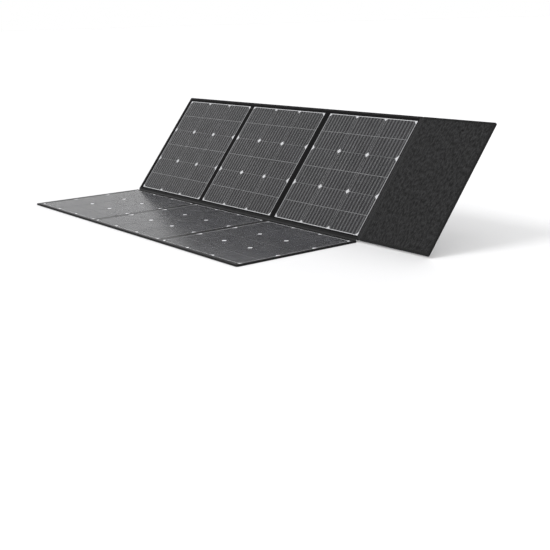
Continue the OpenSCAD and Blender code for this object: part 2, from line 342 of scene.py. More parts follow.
def strap(name, plane, line, xs, t, step=6 * MM, wave=0.0):
    """Flat webbing or cloth along a (s, n) line, from x to x, of thickness t and with soft edges."""
    line = resample(line, step)
    last = len(line) - 1
    normals = []
    for i in range(last + 1):
        along = (line[min(i + 1, last)] - line[max(i - 1, 0)]).normalized()
        normals.append(Vector((-along.y, along.x)))
    columns = grid_lines(*xs, [0.4 * t, t, 3 * t], 12 * MM)

    def point(side):
        def place(i, x):
            d = min(x - xs[0], xs[1] - x)
            half = t / 2 * (0.45 + 0.55 * min(1.0, d / t))
            ripple = wave * noise.noise(Vector((x / 0.03, i * step / 0.03, 3.3)))
            p = line[i] + normals[i] * (side * half + ripple)
            return plane.at(x, p.x, p.y)
        return place

    return shell(name, range(last + 1), columns, point(1), point(-1))


def stitches(name, places, thread=0.45 * MM, length=4.2 * MM, pitch=6.5 * MM):
    """A row of raised stitches along world points, each place a (point, up) pair."""
    sides = 5
    rings = ((0, 0.35), (0.25, 1), (0.75, 1), (1, 0.35))
    points, faces = [], []
    walked = 0.0
    for (a, up), (b, _) in zip(places, places[1:]):
        span = (b - a).length
        if span < 1e-9:
            continue
        along = (b - a) / span
        side = along.cross(up).normalized()
        while walked + length < span:
            start = len(points)
            for k, (share, fat) in enumerate(rings):
                middle = a + along * (walked + share * length) + up * thread * (0.2 + 0.35 * fat)
                for c in range(sides):
                    turn = 2 * math.pi * c / sides
                    points.append(middle + (side * math.cos(turn) + up * math.sin(turn)) * thread * fat)
                if k:
                    for c in range(sides):
                        d = (c + 1) % sides
                        low, high = start + (k - 1) * sides, start + k * sides
                        faces.append((low + c, low + d, high + d, high + c))
            faces.append(tuple(start + c for c in reversed(range(sides))))
            faces.append(tuple(start + (len(rings) - 1) * sides + c for c in range(sides)))
            walked += pitch
        walked = max(0.0, walked - span)
    return finish_mesh(name, points, faces, 60)


def seam(name, plane, path, inset, n, **sizes):
    """Stitches on a plane, that run beside a corner_path at a distance inside it."""
    places = [
        (plane.at(p.x - out.x * inset, p.y - out.y * inset, n), plane.n_axis) for p, out in path
    ]
    return stitches(name, places, **sizes)


def wrinkle(amount, size, seed, stretch=1.0):
    """Relief of soft wrinkles, fading out at the edge."""
    def relief(x, s, d):
        p = Vector((x / size, s / (size * stretch), seed))
        fine = noise.noise(p * 2.7) * 0.4
        return amount * (noise.noise(p) + fine) * min(1.0, d / (12 * MM))
    return relief


# ---------------------------------------------------------------- materials

FILM_IOR = 1.3
CELL_TINT = (0.98, 1.0, 1.16)
# Brightness of the cells, the painted glint beside ribbons, the backing sheet, its sides and the ribbons.
# Each row has its own values: lit and shaded copies of the same materials, painted light for how the light
# falls on the flat and the leaning row
FLAT_ROW_PAINTED_LIGHT = {"cell": 0.026, "fingers_and_painted_glint": 0.040, "sheet": 0.72, "side": 0.28, "tin": 0.050}
LEANING_ROW_PAINTED_LIGHT = {"cell": 0.0075, "fingers_and_painted_glint": 0.080, "sheet": 0.46, "side": 0.20, "tin": 0.125}
UNDER_FILM = {"Coat_Weight": 1.0, "Coat_Roughness": 0.2, "Coat_IOR": FILM_IOR, "Specular_IOR_Level": 0.0}


class Tree:
    """A node material in a plane's (x, s, n) places, built by short calls."""

    def __init__(self, name, plane):
        self.material = bpy.data.materials.new(name)
        self.material.use_nodes = True
        self.tree = self.material.node_tree
        self.shader = self.tree.nodes["Principled BSDF"]
        turn = Matrix(((1, 0, 0), plane.s_axis, plane.n_axis))
        shift = -(turn @ plane.origin)
        mirror = -1 if turn.determinant() < 0 else 1
        turn = turn @ Matrix.Diagonal((1, mirror, 1))
        place = self.node("ShaderNodeTexCoord").outputs["Object"]
        turned = self.node(
            "ShaderNodeMapping", Vector=place, Rotation=turn.to_euler(), Scale=(1, mirror, 1), Location=shift
        )
        self.place = turned.outputs["Vector"]

    def node(self, kind, settings=None, **inputs):
        made = self.tree.nodes.new(kind)
        for key, value in (settings or {}).items():
            setattr(made, key, value)
        for key, value in inputs.items():
            self.set(made.inputs[key.replace("_", " ")], value)
        return made

    def set(self, socket, value):
        if isinstance(value, bpy.types.NodeSocket):
            self.tree.links.new(value, socket)
        else:
            socket.default_value = value

    def math(self, operation, a, b=0.0, c=0.0):
        made = self.node("ShaderNodeMath", {"operation": operation})
        for socket, value in zip(made.inputs, (a, b, c)):
            self.set(socket, value)
        return made.outputs[0]

    def stretched(self, scale):
        return self.node("ShaderNodeMapping", Vector=self.place, Scale=scale).outputs["Vector"]

    def noise(self, scale, detail=3.0, stretch=(1, 1, 1), roughness=0.55):
        made = self.node(
            "ShaderNodeTexNoise", Vector=self.stretched(stretch), Scale=scale, Detail=detail,
            Roughness=roughness,
        )
        return made.outputs["Fac"]

    def ramp(self, factor, low, high, start=0.3, end=0.7):
        made = self.node("ShaderNodeValToRGB", Fac=factor)
        stops = made.color_ramp.elements
        stops[0].position, stops[1].position = start, end
        stops[0].color = (*low, 1)
        stops[1].color = (*high, 1)
        return made.outputs["Color"]

    def mix(self, factor, a, b, blend="MIX"):
        made = self.node("ShaderNodeMix", {"data_type": "RGBA", "blend_type": blend})
        self.set(made.inputs["Factor"], factor)
        self.set(made.inputs["A"], a if isinstance(a, bpy.types.NodeSocket) else (*a, 1))
        self.set(made.inputs["B"], b if isinstance(b, bpy.types.NodeSocket) else (*b, 1))
        return made.outputs["Result"]

    def finish(self, color, roughness, height=None, relief=0.2 * MM, strength=1.0, **values):
        self.set(self.shader.inputs["Base Color"], color)
        self.set(self.shader.inputs["Roughness"], roughness)
        for key, value in values.items():
            self.shader.inputs[key.replace("_", " ")].default_value = value
        if height is not None:
            bump = self.node("ShaderNodeBump", Strength=strength, Distance=relief, Height=height)
            self.set(self.shader.inputs["Normal"], bump.outputs["Normal"])
        return self.material


def grey(value, tint=(1, 1, 1.03)):
    """A colour of one value, by default a trace cool."""
    return tuple(value * t for t in tint)


def weave_height(t, pitch):
    """Over and under of plain woven threads in the plane of the cloth."""
    split = t.node("ShaderNodeSeparateXYZ", Vector=t.place)
    waves = [
        t.math("SINE", t.math("MULTIPLY", split.outputs[axis], 2 * math.pi / pitch)) for axis in ("X", "Y")
    ]
    return t.math("MULTIPLY", *waves)


def cloth(name, plane, low, high, mottle=0.3, grain=95, drawn=0.4, relief=1.2 * MM):
    """Heathered polyester: dark and light fibres, wisps drawn out along the slope and a plain weave."""
    t = Tree(name, plane)
    fibre = t.noise(700, 2.0, (1, drawn, 1))
    colour = t.ramp(fibre, low, high, 0.38, 0.64)
    wisps = t.noise(grain, 3.0, (1, drawn, 1), 0.62)
    shade = t.ramp(wisps, (1 - mottle,) * 3, (1 + mottle,) * 3, 0.38, 0.60)
    colour = t.mix(1.0, colour, shade, "MULTIPLY")
    weave = t.math("MULTIPLY_ADD", weave_height(t, 1.6 * MM), 0.08, t.math("MULTIPLY", fibre, 0.2))
    rough = t.math("MULTIPLY_ADD", fibre, 0.15, 0.8)
    height = t.math("MULTIPLY_ADD", wisps, 2.0, weave)
    return t.finish(
        colour, rough, height, relief, 1.0, Sheen_Weight=0.04, Sheen_Roughness=0.5, Specular_IOR_Level=0.12
    )


def bezel_cloth(name, plane, coat, base=0.0055):
    """Black cloth under the clear front film."""
    t = Tree(name, plane)
    fibre = t.noise(1100, 2.0)
    colour = t.ramp(fibre, grey(base * 0.6), grey(base * 1.4))
    height = t.math("MULTIPLY_ADD", weave_height(t, 0.9 * MM), 0.3, t.noise(60, 3.0))
    return t.finish(colour, 0.8, height, 0.06 * MM, 0.5, **{**UNDER_FILM, "Coat_Weight": coat})


def webbing(name, plane, base=0.012):
    """Ribbed narrow tape, also used for thread and piping."""
    t = Tree(name, plane)
    split = t.node("ShaderNodeSeparateXYZ", Vector=t.place)
    ribs = t.math("SINE", t.math("MULTIPLY", split.outputs["X"], 2 * math.pi / (1.7 * MM)))
    picks = t.math("SINE", t.math("MULTIPLY", split.outputs["Y"], 2 * math.pi / (1.1 * MM)))
    height = t.math("MULTIPLY_ADD", picks, 0.4, ribs)
    fibre = t.noise(1400, 2.0)
    colour = t.ramp(fibre, grey(base * 0.6), grey(base * 1.6))
    return t.finish(colour, 0.75, height, 0.2 * MM, 0.8, Specular_IOR_Level=0.15)


def orange_band(name, plane):
    """Bright woven tape, a little worn."""
    t = Tree(name, plane)
    fibre = t.noise(1000, 2.0)
    worn = t.noise(30, 4.0)
    colour = t.ramp(fibre, (0.50, 0.095, 0.008), (0.80, 0.20, 0.018))
    colour = t.mix(1.0, colour, t.ramp(worn, (0.86,) * 3, (1.05,) * 3), "MULTIPLY")
    height = t.math("MULTIPLY_ADD", weave_height(t, 1.3 * MM), 0.5, fibre)
    return t.finish(colour, 0.75, height, 0.3 * MM, 0.8, Specular_IOR_Level=0.15)


def cell_places(t):
    """Nodes for the bay, the x across its cells and the s up them."""
    split = t.node("ShaderNodeSeparateXYZ", Vector=t.place)
    bay = t.math("FLOOR", t.math("DIVIDE", split.outputs["X"], BAY))
    shift = t.math("MULTIPLY_ADD", t.math("LESS_THAN", bay, 0.5), MODULE_SHIFT, CELL_MARGIN)
    across = t.math("SUBTRACT", t.math("MULTIPLY_ADD", bay, -BAY, split.outputs["X"]), shift)
    return bay, across, t.math("SUBTRACT", split.outputs["Y"], CELL_MARGIN)


def silicon(name, plane):
    """Dark cells that differ a little from each other, with faint fingers and a painted glint that makes them
    lighter along the ribbons.
    """
    t = Tree(name, plane)
    bay, across, upward = cell_places(t)
    column = t.math("FLOOR", t.math("DIVIDE", across, CELL_PITCH))
    row = t.math("FLOOR", t.math("DIVIDE", upward, CELL_PITCH))
    cell = t.node("ShaderNodeCombineXYZ", X=t.math("MULTIPLY_ADD", bay, 3.0, column), Y=row)
    tint = t.node("ShaderNodeTexWhiteNoise", Vector=cell.outputs[0]).outputs["Value"]
    # The cells' colours are painted apart for each row: lit and shaded copies of one cell.
    look = FLAT_ROW_PAINTED_LIGHT if plane is LOW else LEANING_ROW_PAINTED_LIGHT
    low, high = look["cell"], look["fingers_and_painted_glint"]
    colour = t.ramp(tint, grey(low, CELL_TINT), grey(low * 1.45, CELL_TINT), 0.0, 1.0)
    in_cell = t.math("MULTIPLY_ADD", column, -CELL_PITCH, across)
    turns = t.math("MULTIPLY", in_cell, 2 * math.pi / RIBBON_PITCH)
    # Painted glint: bands beside the ribbons are painted lighter, standing in for the ribbons' reflection.
    # The fingers are real.
    beside = t.math("MULTIPLY_ADD", t.math("COSINE", turns), -0.5, 0.5)
    finger = t.math("SINE", t.math("MULTIPLY", upward, 2 * math.pi / (1.6 * MM)))
    fingers_and_painted_glint = t.math("MULTIPLY_ADD", finger, 0.02, t.math("POWER", beside, 2.0))
    colour = t.mix(fingers_and_painted_glint, colour, grey(high))
    cloud = t.noise(9, 3.0)
    colour = t.mix(1.0, colour, t.ramp(cloud, (0.88,) * 3, (1.12,) * 3), "MULTIPLY")
    return t.finish(colour, 0.5, t.noise(5, 2.0), 0.5 * MM, 0.15, **UNDER_FILM)


def near_line(t, place, reach):
    """1 within reach of the nearest gap between two cells, or else 0."""
    in_cell = t.math("MODULO", t.math("ADD", place, CELL_PITCH), CELL_PITCH)
    nearest = t.math("SUBTRACT", in_cell, CELL_PITCH / 2)
    return t.math("GREATER_THAN", t.math("ABSOLUTE", nearest), CELL_PITCH / 2 - reach)


def backing_sheet(name, plane):
    """Light sheet behind the cells: greyed in the narrow gaps, and clean at the corners and the rim."""
    t = Tree(name, plane)
    _, across, upward = cell_places(t)
    # The sheet and its sides are painted apart for each row: lit and shaded copies of one sheet.
    look = FLAT_ROW_PAINTED_LIGHT if plane is LOW else LEANING_ROW_PAINTED_LIGHT
    light, side_light = look["sheet"], look["side"]
    half = 1.5 * CELL_PITCH
    clean = t.ramp(t.noise(40, 4.0), grey(light * 0.92), grey(light * 1.08))
    corner = t.math("MULTIPLY", near_line(t, across, 13 * MM), near_line(t, upward, 13 * MM))
    side, rim = (
        t.math("GREATER_THAN", t.math("ABSOLUTE", t.math("SUBTRACT", p, half)), half - 2 * MM)
        for p in (across, upward)
    )
    colour = t.mix(side, (0.22, 0.22, 0.225), grey(side_light))
    colour = t.mix(t.math("MAXIMUM", corner, rim), colour, clean)
    return t.finish(colour, 0.5, t.noise(600, 2.0), 0.02 * MM, 0.3, **UNDER_FILM)


def tinned(name, plane):
    """Dull tin on the contact ribbons."""
    t = Tree(name, plane)
    # The tin is painted apart for each row, lighter on the leaning row: lit and shaded copies of one tin.
    bright = (FLAT_ROW_PAINTED_LIGHT if plane is LOW else LEANING_ROW_PAINTED_LIGHT)["tin"]
    colour = t.ramp(t.noise(60, 3.0), grey(bright * 0.9), grey(bright * 1.15))
    return t.finish(colour, 0.5, t.noise(300, 2.0), 0.01 * MM, 0.2, **UNDER_FILM)


def clear_film(name, plane):
    """Thin clear front film, almost invisible: its own colour is that of the cells, so it adds no haze."""
    t = Tree(name, plane)
    colour = t.ramp(t.noise(25, 3.0), (0.030, 0.031, 0.034), (0.044, 0.045, 0.049))
    made = t.finish(
        colour, 0.3, t.noise(8, 1.0), 0.2 * MM, 0.1, Alpha=0.006, Specular_IOR_Level=0.0
    )
    made.surface_render_method = "BLENDED"
    return made


def stiffener(name, plane):
    """Glass-fibre board with a woven face."""
    t = Tree(name, plane)
    colour = t.ramp(t.noise(300, 4.0, (1, 0.2, 1)), (0.22, 0.24, 0.19), (0.34, 0.35, 0.29))
    height = weave_height(t, 3 * MM)
    return t.finish(colour, 0.55, height, 0.08 * MM, 0.6)


def copper_tape(name, plane):
    """Flat copper conductor."""
    t = Tree(name, plane)
    colour = t.ramp(t.noise(400, 3.0), (0.60, 0.30, 0.14), (0.80, 0.46, 0.24))
    return t.finish(colour, 0.35, t.noise(900, 2.0), 0.04 * MM, 0.5, Metallic=1.0)


def moulded(name, plane, base, roughness=0.5, grain=1.0):
    """Dark moulded plastic or rubber with a fine spark-eroded grain."""
    t = Tree(name, plane)
    cloud = t.noise(50, 3.0)
    colour = t.ramp(cloud, grey(base * 0.8), grey(base * 1.25))
    height = t.noise(1500, 3.0)
    rough = t.math("MULTIPLY_ADD", cloud, 0.15, roughness - 0.07)
    return t.finish(colour, rough, height, 0.08 * MM * grain, 0.6)


def satin_metal(name, plane, base=0.62):
    """Metal brushed along the slope."""
    t = Tree(name, plane)
    brushed = t.noise(500, 4.0, (1, 0.06, 1))
    colour = t.ramp(brushed, grey(base * 0.8), grey(base * 1.15))
    rough = t.math("MULTIPLY_ADD", brushed, 0.2, 0.22)
    return t.finish(colour, rough, brushed, 0.05 * MM, 0.4, Metallic=1.0)


def pale_floor(name):
    """Plain matt floor."""
    t = Tree(name, LOW)
    colour = t.ramp(t.noise(3, 4.0), (0.600, 0.600, 0.605), (0.612, 0.612, 0.617))
    return t.finish(colour, 0.6, t.noise(400, 2.0), 0.1 * MM, 0.2, Specular_IOR_Level=0.2)


# ---------------------------------------------------------------- camera, light and floor

VIEW_AZIMUTH = math.radians(53.12)
VIEW_ELEVATION = math.radians(14.61)
VIEW_ROLL = math.radians(-1.55)
VIEW_TARGET = Vector((0, 0, 0.2))
VIEW_DISTANCE = 4.422
VIEW_ACROSS = 0.1282
VIEW_ABOVE = -0.4491
VIEW_LENS = 63.39
SENSOR = 36
FLOOR_REACH = 300


def make_camera():
    """The viewing angle: back is the direction from the object to the camera."""
    azimuth, elevation, roll = VIEW_AZIMUTH, VIEW_ELEVATION, VIEW_ROLL
    back = Vector((
        math.sin(azimuth) * math.cos(elevation), -math.cos(azimuth) * math.cos(elevation), math.sin(elevation)
    ))
    level = Vector((math.cos(azimuth), math.sin(azimuth), 0))
    upright = back.cross(level)
    right = level * math.cos(roll) + upright * math.sin(roll)
    top = upright * math.cos(roll) - level * math.sin(roll)
    data = bpy.data.cameras.new("camera")
    data.sensor_width = SENSOR
    data.lens = VIEW_LENS
    camera = bpy.data.objects.new("camera", data)
    place = VIEW_TARGET + back * VIEW_DISTANCE + right * VIEW_ACROSS + top * VIEW_ABOVE
    camera.matrix_world = Matrix.Translation(place) @ Matrix((right, top, back)).transposed().to_4x4()
    bpy.context.scene.collection.objects.link(camera)
    bpy.context.scene.camera = camera


def add_light(name, kind, direction, power, **values):
    """A lamp that shines from a direction; area lamps stand at that point."""
    data = bpy.data.lights.new(name, kind)
    data.energy = power
    for key, value in values.items():
        setattr(data, key, value)
    lamp = bpy.data.objects.new(name, data)
    lamp.location = direction
    lamp.rotation_euler = Vector(direction).to_track_quat("Z", "Y").to_euler()
    bpy.context.scene.collection.objects.link(lamp)


def make_studio():
    """White world, two soft suns and a wide pale floor."""
    world = bpy.data.worlds.new("studio")
    world.use_nodes = True
    background = world.node_tree.nodes["Background"]
    background.inputs["Color"].default_value = (1, 1, 1, 1)
    background.inputs["Strength"].default_value = 1.0
    bpy.context.scene.world = world
    bpy.context.scene.view_settings.view_transform = "Standard"
    add_light("key", "SUN", (-1.2, -3.5, 3.6), 1.8, angle=math.radians(26))
    add_light("rear_light", "SUN", (-1.5, 3.5, 3.3), 1.5, angle=math.radians(40))
    far = FLOOR_REACH
    corners = [(-far, -far, 0), (far, -far, 0), (far, far, 0), (-far, far, 0)]
    floor = finish_mesh("floor", corners, [(0, 1, 2, 3)])
    floor.location.z = -0.1 * MM
    floor.data.materials.append(pale_floor("pale_floor"))


make_camera()
make_studio()

ROW_CLOTH = cloth("cover_cloth", ROW, grey(0.010), grey(0.025), 0.2, 140)
FLAP_CLOTH = cloth("flap_cloth", ROW, grey(0.0070), grey(0.0185), 0.7, 112, 0.5, 1.8 * MM)
LOW_CLOTH = cloth("cover_cloth_flat", LOW, grey(0.010), grey(0.025), 0.2, 140)
LEG_CLOTH = cloth("leg_cloth", leg_plane(1), grey(0.018), grey(0.037), 0.15, 180, 0.2)
POCKET_CLOTH = cloth("pocket_cloth", ROW, grey(0.010), grey(0.026), 0.2)
# Pocket wall cloth painted several times lighter than the cover: painted light for the top wall, which faces
# the light.
PAINTED_LIT_WALL_CLOTH = cloth("pocket_wall_cloth_painted_light", ROW, grey(0.034), grey(0.070), 0.15)
# The bezel cloth is painted lighter on the flat row than on the leaning row: lit and shaded copies of one
# cloth.
ROW_BEZEL = bezel_cloth("bezel_cloth", ROW, 0.15)
LOW_BEZEL = bezel_cloth("bezel_cloth_flat", LOW, 0.7, 0.010)
BINDING = webbing("binding_tape", ROW, 0.006)
LOW_BINDING = webbing("binding_tape_flat", LOW, 0.006)
WEBBING = webbing("webbing_tape", ROW, 0.008)
THREAD = webbing("thread", ROW, 0.022)
PIPING = webbing("piping", ROW, 0.15)
ZIP_TAPE = webbing("zip_tape", ROW, 0.045)
ORANGE = orange_band("orange_band", ROW)
RUBBER = moulded("grip_rubber", ROW, 0.010, 0.65, 2.0)
METAL = satin_metal("cap_metal", ROW)
DARK_METAL = satin_metal("zip_metal", ROW, 0.34)


def paint(piece, material):
    """Makes material the only one of a piece."""
    piece.data.materials.clear()
    piece.data.materials.append(material)


def paint_cad():
    """Better materials for the CAD nodes whose shapes stay."""
    looks = {
        "board": stiffener, "laminate": backing_sheet, "cells": silicon, "ribbons": tinned,
        "films": clear_film,
    }
    for row, plane in (("upper", ROW), ("lower", LOW)):
        for kind, look in looks.items():
            made = look(f"{row}_{kind}", plane)
            for name, node in frame["nodes"].items():
                if name.startswith(f"{row}_{kind}"):
                    paint(node, made)
    core = stiffener("hidden_board", ROW)
    for name in ("flap_board", "leg_core_1", "leg_core_2", "leg_core_3"):
        paint(frame["nodes"][name], core)
    paint(frame["nodes"]["bus_wiring"], copper_tape("copper_tape", ROW))
    paint(frame["nodes"]["charge_controller"], moulded("controller_plastic", ROW, 0.022))
    paint(frame["nodes"]["output_socket"], moulded("socket_plastic", ROW, 0.012, 0.4))
    paint(frame["nodes"]["handle_caps"], METAL)
    edges = {"charge_controller": 1.2 * MM, "handle_caps": 0.6 * MM, "output_socket": 0.4 * MM}
    for name, width in edges.items():
        bevel = frame["nodes"][name].modifiers.new("soft_edges", "BEVEL")
        bevel.width = width
        bevel.segments = 2
        bevel.limit_method = "ANGLE"


def add(piece, body, slot, material, *replaced):
    """A piece in its place: it rides on a body and stands for CAD nodes."""
    paint(piece, material)
    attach(piece, body)
    if replaced:
        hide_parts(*replaced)


def add_blend(piece, a, b, start, end, slot, material, *replaced):
    """A piece of fabric that lies between two bodies, fixed in place where it is built."""
    paint(piece, material)
    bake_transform(piece)
    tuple(start)
    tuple(end)
    if replaced:
        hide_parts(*replaced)


# ---------------------------------------------------------------- rows

LIP = 0.9 * MM
BINDING_W = 9 * MM
TAPE_RISE = 0.48 * MM
TAPE_THREAD = 0.26 * MM
ROW_X = (0, ROW_W)
ROW_S = (CLEAR, BAY)
OUTLINE_X = 4 * MM
OUTLINE_S = 1.2 * MM
WINDOW_INSET = (BAY - WINDOW) / 2
WINDOW_S = (WINDOW_INSET - OUTLINE_S, BAY - WINDOW_INSET + OUTLINE_S)
WINDOWS = [
    ((left + WINDOW_INSET - OUTLINE_X, left + BAY - WINDOW_INSET + OUTLINE_X), WINDOW_S)
    for left in (MODULE_SHIFT, BAY, 2 * BAY)
]


def crease(x, width=4 * MM):
    """1 on the fold lines between bays, falling to 0 beside them."""
    near = min(abs(x - BAY), abs(x - 2 * BAY))
    return math.exp(-((near / width) ** 2))


def bezel(name, plane):
    """Black front cloth with a window over each module and a crease on each fold line."""
    soft = wrinkle(0.12 * MM, 0.05, 1.7)

    def front(x, s, d):
        return soft(x, s, d) - 0.8 * MM * crease(x)

    def rear(x, s, d):
        return 0.7 * MM * crease(x)

    return pad(name, plane, ROW_X, ROW_S, (-LIP, 0), 0.5 * MM, 40 * MM, front=front, rear=rear, holes=WINDOWS)


def back_sheet(name, plane, xs, ss, seed, folds=True):
    """Back cover cloth, slightly wrinkled over the boards. Its n runs out of the back."""
    soft = wrinkle(0.22 * MM, 0.075, seed, 1.6)

    def front(x, s, d):
        return soft(x, s, d) - (0.25 * MM * crease(x) if folds else 0)

    return pad(name, plane, xs, ss, (-0.95 * MM, -0.35 * MM), 0.2 * MM, 14 * MM, front=front)


def binding_section(face, back):
    """A folded tape round an edge from n = back to n = face, thin enough for two closed rows to clear."""
    t = 0.7 * MM
    w = BINDING_W
    outer = [
        (-w, face + 0.35 * MM), (-w + 1 * MM, face + TAPE_RISE), (-1 * MM, face + TAPE_RISE),
        (0.3 * t, face + 0.25 * MM), (t, face - 0.5 * MM), (1.1 * t, (face + back) / 2),
        (t, back + 0.9 * MM), (0.3 * t, back + 0.15 * MM), (-1 * MM, back), (-w + 1 * MM, back),
        (-w, back + 0.1 * MM),
    ]
    inner = [
        (-w, back + 0.6 * MM), (-0.6 * MM, back + 0.7 * MM), (-0.1 * MM, back + 1.2 * MM),
        (-0.1 * MM, face - 1 * MM), (-0.6 * MM, face - 0.2 * MM), (-w, face - 0.1 * MM),
    ]
    return outer + inner


def row_parts(row, plane, body, cover_material, bezel_material):
    """The front bezel and the back cover of one row."""
    add(
        bezel(f"{row}_bezel_cloth", plane), body, "bezel_fabric", bezel_material,
        f"{row}_bezel", f"{row}_column_strips",
    )
    rear = Plane(plane.at(0, 0, -THICK), plane.s_axis, -plane.n_axis)
    add(
        back_sheet(f"{row}_cover_cloth", rear, ROW_X, ROW_S, 4.2 if row == "upper" else 9.1), body,
        "cover_fabric", cover_material, f"{row}_back_cover",
    )


def edge_tape(name, plane, corners, body, material):
    """Binding tape and its stitches along an edge of a row or of the flap."""
    path = corner_path(corners, CORNER)
    add(sweep(name, plane, path, binding_section(0, -THICK)), body, "bezel_fabric", material)
    line = seam(name + "_stitches", plane, path, BINDING_W - 2 * MM, 0.32 * MM, thread=TAPE_THREAD)
    add(line, body, "webbing", THREAD)


def rows():
    """Both rows: bezels, covers and the binding tape round their edges."""
    row_parts("upper", ROW, "upper_row", ROW_CLOTH, ROW_BEZEL)
    row_parts("lower", LOW, "lower_row", LOW_CLOTH, LOW_BEZEL)
    edge_tape("upper_edge_tape", ROW, [(0, CLEAR), (0, BAY), (ROW_W, BAY)], "upper_row", BINDING)
    edge_tape(
        "lower_edge_tape", LOW, [(0, CLEAR), (0, BAY), (ROW_W, BAY), (ROW_W, CLEAR)], "lower_row", LOW_BINDING
    )
    edge_tape("upper_foot_tape", ROW, [(ROW_W, CLEAR), (0, CLEAR)], "upper_row", BINDING)
    edge_tape("lower_fold_tape", LOW, [(ROW_W, CLEAR), (0, CLEAR)], "lower_row", LOW_BEZEL)


def row_hinge():
    """Cloth that joins the two rows, sagging a little into the fold."""
    section = [LOW.at(0, CLEAR, -0.3 * MM), LOW.at(0, 0, -0.5 * MM), ROW.at(0, CLEAR, -0.3 * MM)]
    line = smooth_line([(p.y, p.z) for p in section], 4 * MM)
    flat = Plane((LEFT, 0, 0), (0, 1, 0), (0, 0, 1))
    strip = strap("row_hinge_cloth", flat, line, (CORNER, ROW_W - CORNER), 0.8 * MM, 1.2 * MM)
    add_blend(
        strip, "lower_row", "upper_row", section[0], section[2], "bezel_fabric", LOW_BEZEL, "row_hinge_strip"
    )


# ---------------------------------------------------------------- flap

FLAP_XS = (FLAP_X, TOTAL_W)
TRIM_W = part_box("flap_trim")[1].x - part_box("flap_trim")[0].x


def flap():
    """Cover flap: two cloths over a board, bound at the edges."""
    dimple = wrinkle(0.45 * MM, 0.020, 2.2, 2.2)
    broad = wrinkle(0.5 * MM, 0.14, 8.4)

    def face(x, s, d):
        return dimple(x, s, d) + broad(x, s, d)

    front = pad(
        "flap_front_cloth", ROW, FLAP_XS, ROW_S, (-1.1 * MM, -0.45 * MM), 0.25 * MM, 7 * MM, front=face
    )
    add(front, "flap", "cover_fabric", FLAP_CLOTH, "flap_lining")
    add(
        back_sheet("flap_back_cloth", REAR, FLAP_XS, ROW_S, 6.6, False), "flap", "cover_fabric", ROW_CLOTH,
        "flap_cover",
    )
    edge_tape(
        "flap_edge_tape", ROW,
        [(FLAP_X, BAY), (TOTAL_W, BAY), (TOTAL_W, CLEAR), (FLAP_X, CLEAR)], "flap", BINDING,
    )
    trim()
    spine()


def trim():
    """Orange band along the free edge, sewn down on both sides."""
    xs = (TOTAL_W - TRIM_W, TOTAL_W - 0.6 * MM)
    soft = wrinkle(0.12 * MM, 0.04, 5.5)

    def crown(x, s, d):
        return soft(x, s, d) + 0.25 * MM * min(1.0, d / (10 * MM))

    band = pad("flap_orange_band", REAR, xs, ROW_S, (0.05 * MM, 0.75 * MM), 0.35 * MM, 12 * MM, front=crown)
    band.visible_diffuse = False  # it casts no orange tint on the pale floor
    add(band, "flap", "trim", ORANGE, "flap_trim")
    for k, x in enumerate((xs[0] + 3 * MM, xs[1] - 4 * MM)):
        places = [(REAR.at(x, s, 0.85 * MM), -OUT) for s in (ROW_S[0] + 5 * MM, ROW_S[1] - 5 * MM)]
        add(stitches(f"orange_band_stitches_{k + 1}", places), "flap", "trim", ORANGE)


def spine():
    """Cloth over the flap's fold line: a front and a back layer in one closed strip."""
    reach = 9 * MM
    ends = (ROW_W - reach, FLAP_X + reach)
    lines = grid_lines(*ends, [2 * MM, 5 * MM], 0.9 * MM)
    slopes = grid_lines(*ROW_S, [0.5 * MM, CORNER], 15 * MM)
    middle = (ROW_W + FLAP_X) / 2

    def dip(x):
        return math.exp(-(((x - middle) / (3 * MM)) ** 2))

    def front(x, s):
        ruffle = noise.noise(Vector((x / 0.02, s / 0.03, 1)))
        return ROW.at(x, s, 0.15 * MM - 1.0 * MM * dip(x) + 0.15 * MM * ruffle)

    def rear(x, s):
        return ROW.at(x, s, -THICK - 0.15 * MM + 1.0 * MM * dip(x))

    strip = shell("flap_spine_cloth", lines, slopes, front, rear)
    mid = (ROW_S[0] + ROW_S[1]) / 2
    add_blend(
        strip, "upper_row", "flap", ROW.at(ROW_W, mid, 0), ROW.at(FLAP_X, mid, 0), "cover_fabric", ROW_CLOTH,
        "flap_hinge_strip",
    )


# ---------------------------------------------------------------- legs and stays
# A leg's sleeve keeps LEG_GAP off the row when folded. Its stay is sewn on STAY_DROP below the fold line
# and, at the other end, STAY_S up the row.

LEG_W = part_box("leg_sleeve_1")[1].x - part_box("leg_sleeve_1")[0].x
LEG_GAP = 3 * MM
LEG_T = 8 * MM
LEG_OUT = LEG_GAP + LEG_T
LEG_TOP = 2 * MM
LEG_LAP = 35 * MM
STAY_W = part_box("stay_1")[1].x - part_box("stay_1")[0].x
STAY_DROP = 385 * MM
STAY_S = 95 * MM
STAY_SEWN = 35 * MM
STAY_T = 1.5 * MM


def leg(i):
    """A padded sleeve over a stiff board, that stands flat on the floor."""
    plane = leg_plane(i)
    foot = -(plane.origin.z + plane.n_axis.z * LEG_OUT) / plane.s_axis.z
    soft = wrinkle(0.5 * MM, 0.05, 3.0 + i, 2.2)

    def face(x, s, d):
        return soft(x, s, d) - 0.3 * MM * max(0.0, 1 - d / (25 * MM))

    sleeve = pad(
        f"leg_cloth_{i}", plane, (-LEG_W / 2, LEG_W / 2), (LEG_TOP, foot), (LEG_GAP, LEG_OUT),
        2.2 * MM, 12 * MM, 5 * MM, face, face,
    )
    add(sleeve, f"leg_{i}", "cover_fabric", LEG_CLOTH, f"leg_sleeve_{i}")


